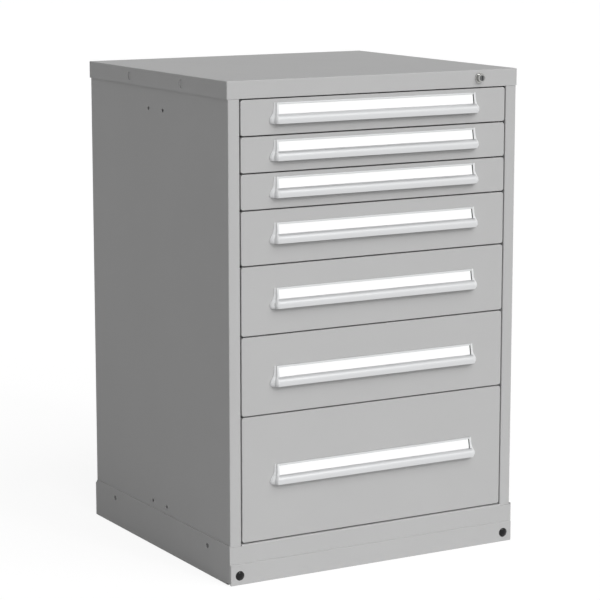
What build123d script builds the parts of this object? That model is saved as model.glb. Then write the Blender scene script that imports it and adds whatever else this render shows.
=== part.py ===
from build123d import *
import math
import os

# Modular drawer cabinet. A painted sheet-steel housing stands on a welded base that a fork lift
# can reach under. Seven drawers roll out on both sides on carriages, and one lock in the top pan
# holds them all shut.
# Millimetres. +X is to the right, +Y goes into the cabinet and +Z is up. The origin is the bottom
# centre of the whole object's box. Depths are counted from the front face of the stiles.

# Housing
CABINET_WIDTH = 762.0
CABINET_DEPTH = 700.0
SKIN = 2.5
SHEET = 1.5
BEND = 3.0
SHEET_BEND = 2.0
STILE_WIDTH = 28.2
STILE_RETURN = 16.0
REAR_LIP = 20.0
TOP_SKIRT = 39.4
TOP_EDGE_ROUND = 2.0
SEAT_HEIGHT = 76.0
TOP_RETURN = 12.0
SILL_HEIGHT = 91.7
SILL_REACH = 20.0
PANEL_GAP = 0.5

# Drawer fronts from the top down, and how far each handle hangs below the top of its front
FRONT_HEIGHTS = (78.3, 78.3, 78.3, 120.2, 154.2, 177.2, 285.7)
HANDLE_DROPS = (8.3, 8.3, 8.3, 28.5, 50.5, 69.5, 113.6)
FRONT_GAP = 3.0
FRONT_DEEP = 14.0
FRONT_CORNER = 6.0
FRONT_EDGE_ROUND = 1.2

# Handle: an extrusion with a card strip in its upper face and a grip below. Reaches are counted
# from the drawer's front.
HANDLE_HEIGHT = 46.0
HANDLE_REACH = 17.5
HANDLE_LENGTH = 521.0
HANDLE_WALL = 1.6
RIM_HEIGHT = 4.0
RIM_REACH = 4.6
RIM_STEP = 1.4
FIELD_HEIGHT = 21.5
FIELD_TOP_REACH = 4.0
FIELD_FOOT_REACH = 8.2
GRIP_SHOULDER = 1.4
GRIP_NOSE_HEIGHT = 8.5
GRIP_TUCK = 2.7
GRIP_LIP = 2.2
GRIP_THICK = 3.1
GRIP_CEILING = 3.3
HEEL_DROP = 2.2
HEEL_REACH = 2.0
CAP_RIM = 1.0
CAP_LAP = 4.0
CAP_PLAY = 0.1
CAP_LEAN = 0.55
CAP_TOP_SPREAD = 4.0
CAP_WAIST_SPREAD = 6.0
CAP_WAIST_HEIGHT = 28.0
CAP_SHOULDER_SPREAD = 9.5
CAP_LOBE_SPREAD = 16.0
CAP_FOOT_SPREAD = 13.5
CARD_THICK = 0.8
CARD_END_GAP = 1.0
CARD_SIDE_GAP = 0.3

# Trays
TRAY_SHEET = 1.2
TRAY_REAR_SPACE = 33.5
TRAY_RAISE = 6.0
TRAY_BELOW_FRONT = 10.0
TRAY_HEM = 6.0
TRAY_REAR_DROP = 8.0

# Suspension
POST_DEEP = 25.0
POST_WIDE = 30.0
POST_FRONT = 30.0
POST_REAR_SPACE = 27.5
POST_SLOT_WIDE = 5.0
POST_SLOT_TALL = 16.0
POST_SLOT_PITCH = 50.8
RAIL_FRONT = 25.0
RAIL_REAR_SPACE = 32.5
RAIL_REACH = 13.5
RUNNER_HEIGHT = 34.0
RUNNER_LEAD = 5.0
ROLLER_RADIUS = 12.0
ROLLER_GAP = 0.3
ROLLER_END = 30.0
SIDE_GAP = 1.0
BAR_THICK = 3.0
BAR_TALL = 18.0
TRAVEL = 600.0

# Base
BASE_WRAP = 91.5
BASE_FLANGE = 45.0
STILE_FOOT = 88.3
FORK_TOP = 41.0
COVER_TOP = 48.3
COVER_FOOT = 0.5
COVER_INSET = 1.0
COVER_REACH = 5.7
COVER_ROUND = 1.0
NOTCH_DEEP = 14.0
NOTCH_TALL = 5.0
REAR_BEVEL_LONG = 24.0
REAR_BEVEL_DROP = 8.0
REAR_WEB_TOP = 88.0
SEAT_ANGLE = 30.0

# Holes, screws and plugs
GANG_HOLE_RADIUS = 4.25
GANG_SPACING = 72.0
GANG_MIDDLE = 349.6
GANG_HEIGHTS = (109.0, 1039.0)
SKIRT_HOLE_RADIUS = 9.85
SKIRT_HOLE_SPACING = 263.0
SKIRT_HOLE_MIDDLE = 347.5
SKIRT_HOLE_DROP = 20.5
BASE_PLUG_RADIUS = 6.0
BASE_PLUG_SPACING = 483.0
BASE_PLUG_MIDDLE = 346.4
BASE_PLUG_HEIGHT = 68.4
BASE_PLUG_THICK = 2.0
BASE_PLUG_SINK = 0.5
COVER_PLUG_RADIUS = 11.0
COVER_PLUG_RISE = 4.0
COVER_PLUG_INSET = 23.0
COVER_PLUG_HEIGHT = 22.1
SHANK_RADIUS = 4.0
SHANK_GAP = 0.2
ANCHOR_HOLE_RADIUS = 7.0
ANCHOR_INSET = 25.0
ANCHOR_MARGIN = 60.0

# Lock
LOCK_INSET = 105.0
LOCK_DROP = 18.3
LOCK_RADIUS = 9.5
LOCK_REACH = 11.0
LOCK_RUNNING = 0.08
COLLAR_RADIUS = 12.3
COLLAR_REACH = 3.0
COLLAR_CHAMFER = 1.0
LOCK_EDGE_ROUND = 1.5
SLEEVE_RADIUS = 11.0
SLEEVE_END = 11.7
NUT_ACROSS = 26.0
NUT_THICK = 4.0
KEYWAY_WIDE = 1.8
KEYWAY_TALL = 10.0
KEYWAY_DEEP = 6.0
CRANK_THROW = 7.0
CRANK_RADIUS = 11.0
CRANK_THICK = 2.0
CRANK_GAP = 0.3
PIN_RADIUS = 2.5
PIN_GAP = 0.3
SLIDE_THICK = 2.0
SLIDE_GAP = 0.6
SLIDE_TAIL = 14.0
SLIDE_TIP = 8.0
SLIDE_TALL = 26.0
BAR_POST_GAP = 1.5
BAR_WIDE = 15.0
BAR_DEPTHS = (19.0, 22.0)
BAR_PIN_INSET = 4.5
BAR_FOOT = 30.0
TAB_TALL = 7.0
TAB_GAP = 0.6
CATCH_RAISE = 58.0
CATCH_REACH = 2.5
CATCH_THICK = 1.5
CATCH_CLEAR = 1.5
CATCH_MARGIN = 2.0
CATCH_FRONT = 3.0
GUIDE_GAP = 0.4
GUIDE_OFFSETS = (25.0, 58.0)
GUIDE_WALL = 3.0
GUIDE_TALL = 12.0

# Sizes that follow from the ones above
FRONT_FACE = (HANDLE_REACH - CABINET_DEPTH) / 2
HANDLE_HALF = HANDLE_LENGTH / 2
HOUSING_HALF = CABINET_WIDTH / 2 - SKIN
OPEN_HALF = HOUSING_HALF - STILE_WIDTH
FRONT_HALF = OPEN_HALF - FRONT_GAP
OPENING_TOP = SILL_HEIGHT + sum(FRONT_HEIGHTS) + FRONT_GAP * (len(FRONT_HEIGHTS) + 1)
CABINET_HEIGHT = OPENING_TOP + TOP_SKIRT
PANEL_REAR = CABINET_DEPTH - SKIN
POST_FACE = HOUSING_HALF - SHEET - POST_DEEP
CHANNEL_HALF = ROLLER_RADIUS + ROLLER_GAP + SHEET
BAR_OUT = POST_FACE - RAIL_REACH - SIDE_GAP
BAR_IN = BAR_OUT - BAR_THICK
TRAY_HALF = BAR_IN - SIDE_GAP - RAIL_REACH
TRAY_REAR = PANEL_REAR - TRAY_REAR_SPACE
POST_REAR = PANEL_REAR - POST_REAR_SPACE - POST_WIDE
RAIL_LENGTH = PANEL_REAR - RAIL_REAR_SPACE - RAIL_FRONT
FORK_HALF = CABINET_WIDTH / 2 - BASE_FLANGE
COVER_HALF = CABINET_WIDTH / 2 - COVER_INSET
COVER_PLUG_X = COVER_HALF - COVER_PLUG_INSET
ANCHOR_DEPTHS = (ANCHOR_MARGIN, CABINET_DEPTH - ANCHOR_MARGIN)
RUNNER_FRONT = RAIL_FRONT - RUNNER_LEAD
FIELD_TOP = (FIELD_TOP_REACH, HANDLE_HEIGHT - RIM_HEIGHT)
FIELD_FOOT = (FIELD_FOOT_REACH, HANDLE_HEIGHT - RIM_HEIGHT - FIELD_HEIGHT)
GRIP_TOP = (FIELD_FOOT_REACH + GRIP_SHOULDER, HANDLE_HEIGHT - RIM_HEIGHT - FIELD_HEIGHT)
GRIP_NOSE = (HANDLE_REACH, GRIP_NOSE_HEIGHT)
GRIP_FOOT = (HANDLE_REACH - GRIP_TUCK, 0.0)
GRIP_MIDDLE = (GRIP_NOSE[1] + GRIP_TOP[1]) / 2
LOCK_X = CABINET_WIDTH / 2 - LOCK_INSET
LOCK_HEIGHT = CABINET_HEIGHT - LOCK_DROP
BAR_X = (POST_FACE + BAR_POST_GAP, POST_FACE + BAR_POST_GAP + BAR_WIDE)
BAR_PIN_X = BAR_X[0] + BAR_PIN_INSET
SLIDE_LEFT = LOCK_X - SLIDE_TAIL
SLIDE_RIGHT = BAR_PIN_X + SLIDE_TIP
LOCK_TRAVEL = 2 * CRANK_THROW * math.sin(math.radians(45))
CRANK_FRONT = SLEEVE_END + CRANK_GAP
SLIDE_FRONT = CRANK_FRONT + CRANK_THICK + SLIDE_GAP
SLIDE_REAR = SLIDE_FRONT + SLIDE_THICK
CATCH_NEAR = BAR_DEPTHS[1] + CATCH_CLEAR


def front_bottom(number):
    """Height of the bottom edge of a drawer's front; drawer 0 is the top one."""
    above = sum(FRONT_HEIGHTS[: number + 1]) + FRONT_GAP * (number + 1)
    return OPENING_TOP - above


def runner_height(number):
    """Height of the middle of a drawer's runners."""
    return front_bottom(number) + RUNNER_HEIGHT


# Sections and extrusions


def window(low_a, high_a, low_b, high_b):
    """Rectangle between two pairs of limits."""
    middle = Pos((low_a + high_a) / 2, (low_b + high_b) / 2)
    return middle * Rectangle(high_a - low_a, high_b - low_b)


def folded(points, wall, bend=0.0):
    """Section of a folded sheet: the points follow one face, and the wall lies to their left."""
    path = FilletPolyline(*points, radius=bend) if bend else Polyline(*points)
    return make_face(Wire(path.edges()).offset_2d(wall, side=Side.LEFT))


def across(section, left, right):
    """A (depth, height) section extruded from left to right."""
    plane = Plane(origin=(left, FRONT_FACE, 0), x_dir=(0, 1, 0), z_dir=(1, 0, 0))
    return extrude(plane * section, amount=right - left, dir=(1, 0, 0))


def upward(section, bottom, top):
    """An (x, depth) section extruded from bottom to top."""
    plane = Plane(origin=(0, FRONT_FACE, bottom), x_dir=(1, 0, 0), z_dir=(0, 0, 1))
    return extrude(plane * section, amount=top - bottom, dir=(0, 0, 1))


def inward(section, near, far):
    """An (x, height) section extruded from a near depth to a far one."""
    plane = Plane(origin=(0, FRONT_FACE + near, 0), x_dir=(1, 0, 0), z_dir=(0, -1, 0))
    return extrude(plane * section, amount=far - near, dir=(0, 1, 0))


def block(left, right, near, far, bottom, top):
    return inward(window(left, right, bottom, top), near, far)


def mirrored(shape):
    return mirror(shape, about=Plane.YZ)


def group(shapes):
    """Separate solids kept side by side in one sub-part."""
    return Compound(children=[solid for shape in shapes for solid in shape.solids()])


# Housing


def side_panel():
    """Right side: one sheet folded into the stile, the side wall and the rear lip."""
    section = folded(
        [
            (OPEN_HALF, STILE_RETURN),
            (OPEN_HALF, 0),
            (HOUSING_HALF, 0),
            (HOUSING_HALF, PANEL_REAR),
            (HOUSING_HALF - REAR_LIP, PANEL_REAR),
        ],
        SHEET,
        SHEET_BEND,
    )
    panel = upward(section, SEAT_HEIGHT, CABINET_HEIGHT - SKIN)
    behind_skirt = STILE_RETURN + SHEET
    seam = OPENING_TOP - PANEL_GAP
    panel -= block(OPEN_HALF - 1, HOUSING_HALF + 1, -1, behind_skirt, seam, CABINET_HEIGHT)
    holes = [
        Pos(GANG_MIDDLE + side * GANG_SPACING / 2, height) * Circle(GANG_HOLE_RADIUS)
        for side in (-1, 1)
        for height in GANG_HEIGHTS
    ]
    panel -= [across(hole, HOUSING_HALF - 2 * SHEET, HOUSING_HALF + SHEET) for hole in holes]
    return panel


def back_panel():
    """Flat rear sheet between the top pan's skirt and the base, on the rear lips."""
    half = HOUSING_HALF - SHEET_BEND
    bottom = REAR_WEB_TOP + PANEL_GAP
    return block(-half, half, PANEL_REAR, PANEL_REAR + SHEET, bottom, OPENING_TOP - PANEL_GAP)


def top_panel():
    """Top pan: its skirts wrap the side panels, and the front skirt has a return."""
    outline = window(-CABINET_WIDTH / 2, CABINET_WIDTH / 2, 0, CABINET_DEPTH)
    pan = upward(outline, OPENING_TOP, CABINET_HEIGHT)
    pan = fillet(pan.edges().filter_by(Axis.Z), TOP_EDGE_ROUND)
    pan = fillet(pan.faces().sort_by(Axis.Z)[-1].edges(), TOP_EDGE_ROUND)
    hollow = window(-HOUSING_HALF, HOUSING_HALF, SKIN, PANEL_REAR)
    pan -= upward(hollow, OPENING_TOP - 1, CABINET_HEIGHT - SKIN)
    pan += block(-OPEN_HALF, OPEN_HALF, 0, TOP_RETURN, OPENING_TOP, OPENING_TOP + SKIN)
    pan -= inward(Pos(LOCK_X, LOCK_HEIGHT) * Circle(SLEEVE_RADIUS), -1, SKIN + 1)
    for side in (-1, 1):
        depth = SKIRT_HOLE_MIDDLE + side * SKIRT_HOLE_SPACING / 2
        hole = Pos(depth, CABINET_HEIGHT - SKIRT_HOLE_DROP) * Circle(SKIRT_HOLE_RADIUS)
        pan -= across(hole, -CABINET_WIDTH, CABINET_WIDTH)
    return pan


def floor_panel():
    """Housing floor on the base's seat angles, with an upstand behind the sill."""
    upstand = STILE_RETURN + PANEL_GAP
    section = folded(
        [
            (upstand, SILL_HEIGHT - SKIN),
            (upstand, SEAT_HEIGHT),
            (PANEL_REAR - 2 * SHEET, SEAT_HEIGHT),
        ],
        SHEET,
        SHEET_BEND,
    )
    half = HOUSING_HALF - SHEET
    return across(section, -half, half)


# Base


def base_side():
    """Right base member: bottom flange and a web that wraps the side panel, with a seat angle."""
    half = CABINET_WIDTH / 2
    member = inward(
        folded([(half - BASE_FLANGE, 0), (half, 0), (half, BASE_WRAP)], SKIN, BEND),
        -SKIN,
        CABINET_DEPTH,
    )
    member -= block(half - 2 * BASE_FLANGE, half + 1, -SKIN - 1, NOTCH_DEEP - SKIN, -1, NOTCH_TALL)
    corner = make_face(
        Polyline(
            (CABINET_DEPTH - REAR_BEVEL_LONG, BASE_WRAP),
            (CABINET_DEPTH + 1, BASE_WRAP - REAR_BEVEL_DROP),
            (CABINET_DEPTH + 1, BASE_WRAP + 1),
            (CABINET_DEPTH - REAR_BEVEL_LONG, BASE_WRAP + 1),
            close=True,
        )
    )
    member -= across(corner, half - 2 * SKIN, half + 1)
    seat = folded(
        [
            (HOUSING_HALF - SEAT_ANGLE, SEAT_HEIGHT - SKIN),
            (HOUSING_HALF - SKIN, SEAT_HEIGHT - SKIN),
            (HOUSING_HALF - SKIN, SEAT_HEIGHT - SEAT_ANGLE),
        ],
        SKIN,
    )
    return member + inward(seat, 0, PANEL_REAR)


def base_frame():
    """Welded base: side members, front web with the fork opening, sill, rear web and flanges."""
    half = CABINET_WIDTH / 2
    sill_half = OPEN_HALF - PANEL_GAP
    right = base_side()
    web = window(-half, half, NOTCH_TALL, STILE_FOOT)
    web += window(-sill_half, sill_half, NOTCH_TALL, SILL_HEIGHT - BEND)
    web -= window(-FORK_HALF, FORK_HALF, 0, FORK_TOP)
    sill = folded(
        [(-SKIN, SEAT_HEIGHT), (-SKIN, SILL_HEIGHT), (SILL_REACH, SILL_HEIGHT)][::-1],
        SKIN,
        BEND,
    )
    frame = right + mirrored(right)
    frame += inward(web, -SKIN, 0)
    frame += across(sill, -sill_half, sill_half)
    rear = folded(
        [(PANEL_REAR - BASE_FLANGE, 0), (CABINET_DEPTH, 0), (CABINET_DEPTH, REAR_WEB_TOP)],
        SKIN,
        BEND,
    )
    frame += across(rear, SKIN - half, half - SKIN)
    for side in (-1, 1):
        for depth in ANCHOR_DEPTHS:
            anchor = Pos(side * (half - ANCHOR_INSET), depth) * Circle(ANCHOR_HOLE_RADIUS)
            frame -= upward(anchor, -1, SKIN + 1)
        bolt_depth = BASE_PLUG_MIDDLE + side * BASE_PLUG_SPACING / 2
        hole = Pos(bolt_depth, BASE_PLUG_HEIGHT) * Circle(BASE_PLUG_RADIUS)
        frame -= across(hole, -CABINET_WIDTH, CABINET_WIDTH)
        shank = Pos(side * COVER_PLUG_X, COVER_PLUG_HEIGHT) * Circle(SHANK_RADIUS + SHANK_GAP)
        frame -= inward(shank, -SKIN - 1, 1)
    return frame


def base_front_cover():
    """Shallow pan that closes the fork opening, held by two capped bolts."""
    middle = Pos(0, (COVER_FOOT + COVER_TOP) / 2)
    tall = COVER_TOP - COVER_FOOT
    outline = middle * RectangleRounded(2 * COVER_HALF, tall, 2 * COVER_ROUND)
    cover = inward(outline, -COVER_REACH, -SKIN)
    cover = fillet(cover.faces().sort_by(Axis.Y)[0].edges(), COVER_ROUND)
    inside = middle * Rectangle(2 * (COVER_HALF - SHEET), tall - 2 * SHEET)
    cover -= inward(inside, SHEET - COVER_REACH, 0)
    for side in (-1, 1):
        shank = Pos(side * COVER_PLUG_X, COVER_PLUG_HEIGHT) * Circle(SHANK_RADIUS + SHANK_GAP)
        cover -= inward(shank, -COVER_REACH - 1, 0)
    return cover


def cover_plugs():
    """Two black domed caps with the shanks of the bolts they cover."""
    sphere = (COVER_PLUG_RADIUS**2 + COVER_PLUG_RISE**2) / (2 * COVER_PLUG_RISE)
    dome = make_face(
        [
            Line((0, 0), (COVER_PLUG_RADIUS, 0)),
            CenterArc((0, COVER_PLUG_RISE - sphere), sphere, *dome_sweep(sphere)),
            Line((0, COVER_PLUG_RISE), (0, 0)),
        ]
    )
    cap = revolve(Plane.XZ * dome, Axis.Z)
    plugs = []
    for side in (-1, 1):
        place = Pos(side * COVER_PLUG_X, FRONT_FACE - COVER_REACH, COVER_PLUG_HEIGHT) * Rot(90, 0, 0)
        shank = Pos(side * COVER_PLUG_X, COVER_PLUG_HEIGHT) * Circle(SHANK_RADIUS)
        plugs.append(place * cap + inward(shank, -COVER_REACH, SKIN))
    return group(plugs)


def dome_sweep(sphere):
    """Start angle and sweep of the arc from the rim of a dome to its crown."""
    rim = math.degrees(math.acos(COVER_PLUG_RADIUS / sphere))
    return rim, 90 - rim


def base_side_plugs():
    """Four round plugs in the sides of the base, a little below the surface."""
    outer = CABINET_WIDTH / 2 - BASE_PLUG_SINK
    plugs = []
    for side in (-1, 1):
        depth = BASE_PLUG_MIDDLE + side * BASE_PLUG_SPACING / 2
        disc = Pos(depth, BASE_PLUG_HEIGHT) * Circle(BASE_PLUG_RADIUS)
        plug = across(disc, outer - BASE_PLUG_THICK, outer)
        plugs += [plug, mirrored(plug)]
    return group(plugs)


# Suspension inside the housing


def rail_uprights():
    """Four slotted posts that the cabinet rails hook into."""
    bottom = SEAT_HEIGHT + SHEET
    wall = HOUSING_HALF - SHEET
    posts = []
    for near in (POST_FRONT, POST_REAR):
        far = near + POST_WIDE
        section = folded([(wall, far), (POST_FACE, far), (POST_FACE, near), (wall, near)], SHEET)
        post = upward(section, bottom, OPENING_TOP - FRONT_GAP)
        count = int((OPENING_TOP - bottom) / POST_SLOT_PITCH) - 1
        middle = (near + far) / 2
        slots = [
            window(
                middle - POST_SLOT_WIDE / 2,
                middle + POST_SLOT_WIDE / 2,
                bottom + POST_SLOT_PITCH * (step + 1) - POST_SLOT_TALL / 2,
                bottom + POST_SLOT_PITCH * (step + 1) + POST_SLOT_TALL / 2,
            )
            for step in range(count)
        ]
        post -= [across(slot, POST_FACE - 1, POST_FACE + 2 * SHEET) for slot in slots]
        posts += [post, mirrored(post)]
    return group(posts)


def channel(mouth, back, height, near, far):
    """C-shaped rail with its back at one x and its mouth at another."""
    low = height - CHANNEL_HALF
    high = height + CHANNEL_HALF
    points = [(mouth, low), (back, low), (back, high), (mouth, high)]
    if mouth > back:
        points.reverse()
    return inward(folded(points, SHEET), near, far)


def cabinet_rails():
    """A fixed rail each side of every drawer, open towards the drawer."""
    rails = []
    for number in range(len(FRONT_HEIGHTS)):
        height = runner_height(number)
        rail = channel(POST_FACE - RAIL_REACH, POST_FACE, height, RAIL_FRONT, RAIL_FRONT + RAIL_LENGTH)
        rails += [rail, mirrored(rail)]
    return group(rails)


def carriage(number):
    """Pair of flat bars: rear rollers run in the cabinet rails, front ones in the drawer's runners."""
    height = runner_height(number)
    half_way = TRAVEL / 2
    rear = RAIL_FRONT + RAIL_LENGTH - ROLLER_END
    outer_depths = (RAIL_FRONT + ROLLER_END + half_way, rear)
    inner_rear = RUNNER_FRONT + RAIL_LENGTH - ROLLER_END - half_way
    inner_depths = (RUNNER_FRONT + ROLLER_END, inner_rear)
    overhang = ROLLER_END / 2
    profile = Pos((inner_depths[0] + rear) / 2, height) * SlotOverall(
        rear - inner_depths[0] + 2 * overhang, BAR_TALL
    )
    pieces = [across(profile, BAR_IN, BAR_OUT)]
    roller_out = POST_FACE - SHEET - SIDE_GAP
    roller_in = TRAY_HALF + SHEET + SIDE_GAP
    for depth in outer_depths:
        disc = Pos(depth, height) * Circle(ROLLER_RADIUS)
        pieces.append(across(disc, BAR_OUT, roller_out))
    for depth in inner_depths:
        disc = Pos(depth, height) * Circle(ROLLER_RADIUS)
        pieces.append(across(disc, roller_in, BAR_IN))
    return group(pieces + [mirrored(piece) for piece in pieces])


# Drawers


def tray(number):
    """Drawer tray: a folded trough, a front wall that closes the front pan, and welded runners."""
    bottom = front_bottom(number) + TRAY_RAISE
    top = front_bottom(number) + FRONT_HEIGHTS[number] - TRAY_BELOW_FRONT
    hem = top - TRAY_SHEET
    trough = folded(
        [
            (-TRAY_HALF - TRAY_HEM, hem),
            (-TRAY_HALF, hem),
            (-TRAY_HALF, bottom),
            (TRAY_HALF, bottom),
            (TRAY_HALF, hem),
            (TRAY_HALF + TRAY_HEM, hem),
        ],
        TRAY_SHEET,
    )
    body = inward(trough, FRONT_DEEP, TRAY_REAR)
    skin = FRONT_HALF - SHEET - CATCH_THICK - ROLLER_GAP
    low = front_bottom(number) + SHEET / 2
    high = front_bottom(number) + FRONT_HEIGHTS[number] - SHEET / 2
    body += block(-skin, skin, FRONT_DEEP, FRONT_DEEP + TRAY_SHEET, low, high)
    rear_top = top - TRAY_REAR_DROP
    body += block(-TRAY_HALF, TRAY_HALF, TRAY_REAR - TRAY_SHEET, TRAY_REAR, bottom, rear_top)
    mouth = TRAY_HALF + RAIL_REACH
    height = runner_height(number)
    runner = channel(mouth, TRAY_HALF, height, RUNNER_FRONT, RUNNER_FRONT + RAIL_LENGTH)
    return body + runner + mirrored(runner)


def front(number):
    """Drawer front: a pan with rounded corners, and the two welded pieces of its lock catch."""
    bottom = front_bottom(number)
    tall = FRONT_HEIGHTS[number]
    middle = Pos(0, bottom + tall / 2)
    pan = inward(middle * RectangleRounded(2 * FRONT_HALF, tall, FRONT_CORNER), 0, FRONT_DEEP)
    pan = fillet(pan.faces().sort_by(Axis.Y)[0].edges(), FRONT_EDGE_ROUND)
    inside = middle * RectangleRounded(
        2 * (FRONT_HALF - SHEET), tall - 2 * SHEET, FRONT_CORNER - SHEET
    )
    pan -= inward(inside, SHEET, FRONT_DEEP + 1)
    wall = FRONT_HALF - SHEET
    low = bottom + CATCH_RAISE
    far = CATCH_NEAR + CATCH_THICK
    plate = block(
        wall - CATCH_THICK, wall, CATCH_FRONT, far, low - CATCH_MARGIN, low + TAB_TALL + CATCH_MARGIN
    )
    lip = block(wall, FRONT_HALF + CATCH_REACH, CATCH_NEAR, far, low, low + TAB_TALL)
    return group([pan, plate, lip])


def handle_bottom(number):
    top = front_bottom(number) + FRONT_HEIGHTS[number]
    return top - HANDLE_DROPS[number] - HANDLE_HEIGHT


def handle(number):
    """Extruded pull: a hollow card holder above, and a rounded grip over a finger hollow."""
    ceiling = GRIP_TOP[1] - GRIP_CEILING
    lip = GRIP_FOOT[0] - GRIP_LIP
    inner = GRIP_NOSE[0] - GRIP_THICK
    heel = ceiling - HEEL_DROP
    outline = make_face(
        [
            Polyline(
                (0, HANDLE_HEIGHT),
                (RIM_REACH, HANDLE_HEIGHT),
                (FIELD_TOP[0] + RIM_STEP, FIELD_TOP[1]),
                FIELD_TOP,
                FIELD_FOOT,
                GRIP_TOP,
            ),
            TangentArc(GRIP_NOSE, GRIP_TOP, tangent=(0, 1)),
            TangentArc(GRIP_NOSE, GRIP_FOOT, tangent=(0, -1)),
            Line(GRIP_FOOT, (lip, 0)),
            ThreePointArc((lip, 0), (inner, GRIP_NOSE[1]), (FIELD_FOOT[0], ceiling)),
            Polyline(
                (FIELD_FOOT[0], ceiling),
                (HEEL_REACH, ceiling),
                (HEEL_REACH, heel),
                (0, heel),
                (0, HANDLE_HEIGHT),
            ),
        ]
    )
    void = make_face(
        Polyline(
            (HANDLE_WALL, HANDLE_HEIGHT - HANDLE_WALL),
            (FIELD_TOP[0] - HANDLE_WALL, HANDLE_HEIGHT - HANDLE_WALL),
            (FIELD_FOOT[0] - HANDLE_WALL, ceiling + HANDLE_WALL),
            (HANDLE_WALL, ceiling + HANDLE_WALL),
            close=True,
        )
    )
    return on_front(outline - void, -HANDLE_HALF, HANDLE_HALF, handle_bottom(number))


def on_front(section, left, right, foot):
    """A (reach, height) section extruded along a drawer's front."""
    plane = Plane(origin=(left, FRONT_FACE, foot), x_dir=(0, -1, 0), z_dir=(-1, 0, 0))
    return extrude(plane * section, amount=right - left, dir=(1, 0, 0))


def label(number):
    """Blank card strip in the sloping field of the handle."""
    length = math.dist(FIELD_TOP, FIELD_FOOT)
    along = ((FIELD_FOOT[0] - FIELD_TOP[0]) / length, (FIELD_FOOT[1] - FIELD_TOP[1]) / length)
    out = (-along[1], along[0])
    corners = [
        (
            FIELD_TOP[0] + along[0] * run + out[0] * rise,
            FIELD_TOP[1] + along[1] * run + out[1] * rise,
        )
        for run, rise in (
            (CARD_SIDE_GAP, 0),
            (length - CARD_SIDE_GAP, 0),
            (length - CARD_SIDE_GAP, CARD_THICK),
            (CARD_SIDE_GAP, CARD_THICK),
        )
    ]
    section = make_face(Polyline(*corners, close=True))
    half = HANDLE_HALF - CARD_END_GAP
    return on_front(section, -half, half, handle_bottom(number))


def handle_caps(number):
    """Moulded end caps: each laps over the card's end, and its lobe closes the grip's end."""
    foot = handle_bottom(number)
    lean = (RIM_REACH - GRIP_TOP[0]) / (HANDLE_HEIGHT - GRIP_TOP[1])
    waist_reach = GRIP_TOP[0] + lean * (CAP_WAIST_HEIGHT - GRIP_TOP[1])
    # Height, reach and spread past the pull's end of each level
    levels = (
        (0, GRIP_FOOT[0], CAP_FOOT_SPREAD),
        (GRIP_NOSE[1] / 2, grip_reach(GRIP_NOSE[1] / 2), CAP_LOBE_SPREAD),
        (GRIP_NOSE[1], GRIP_NOSE[0], CAP_LOBE_SPREAD),
        (GRIP_MIDDLE, grip_reach(GRIP_MIDDLE), (CAP_LOBE_SPREAD + CAP_SHOULDER_SPREAD) / 2),
        (GRIP_TOP[1], GRIP_TOP[0] + CAP_RIM, CAP_SHOULDER_SPREAD),
        (CAP_WAIST_HEIGHT, waist_reach + CAP_RIM, CAP_WAIST_SPREAD),
        (HANDLE_HEIGHT, RIM_REACH + CAP_RIM, CAP_TOP_SPREAD),
    )
    rings = []
    for height, reach, spread in levels:
        plane = Plane(
            origin=(HANDLE_HALF, FRONT_FACE, foot + height), x_dir=(1, 0, 0), z_dir=(0, 0, 1)
        )
        ring = Polyline(
            (0, 0), (spread, 0), (spread - CAP_LEAN * reach, -reach), (0, -reach), close=True
        )
        rings.append(plane * make_face(ring))
    lap = make_face(
        Polyline(
            (RIM_REACH + CAP_PLAY, HANDLE_HEIGHT),
            (RIM_REACH + CAP_RIM, HANDLE_HEIGHT),
            (GRIP_TOP[0] + CAP_RIM, GRIP_TOP[1]),
            (GRIP_TOP[0] + CAP_PLAY, GRIP_TOP[1]),
            close=True,
        )
    )
    cap = loft(rings, ruled=True) + on_front(lap, HANDLE_HALF - CAP_LAP, HANDLE_HALF, foot)
    return group([cap, mirrored(cap)])


def grip_reach(height):
    """How far the grip's outer curve stands out at a height."""
    end = GRIP_TOP if height > GRIP_NOSE[1] else GRIP_FOOT
    run = GRIP_NOSE[0] - end[0]
    radius = (run**2 + (end[1] - GRIP_NOSE[1]) ** 2) / (2 * run)
    return GRIP_NOSE[0] - radius + math.sqrt(radius**2 - (height - GRIP_NOSE[1]) ** 2)


# Lock


def lock_housing():
    """Fixed collar and sleeve of the lock, with the nut that clamps it in the front skirt."""
    place = Pos(LOCK_X, LOCK_HEIGHT)
    collar = inward(place * Circle(COLLAR_RADIUS), -COLLAR_REACH, 0)
    collar = chamfer(collar.faces().sort_by(Axis.Y)[0].edges(), COLLAR_CHAMFER)
    sleeve = inward(place * Circle(SLEEVE_RADIUS), 0, SLEEVE_END)
    hexagon = place * RegularPolygon(NUT_ACROSS / 2, 6, major_radius=False)
    nut = inward(hexagon, SKIN, SKIN + NUT_THICK)
    bore = inward(place * Circle(LOCK_RADIUS + LOCK_RUNNING), -COLLAR_REACH - 1, SLEEVE_END + 1)
    return collar + sleeve + nut - bore


def crank_pin():
    """Where the crank pin stands when the lock is open, as offsets from the lock's axis."""
    angle = math.radians(45)
    return -CRANK_THROW * math.sin(angle), CRANK_THROW * math.cos(angle)


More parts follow.
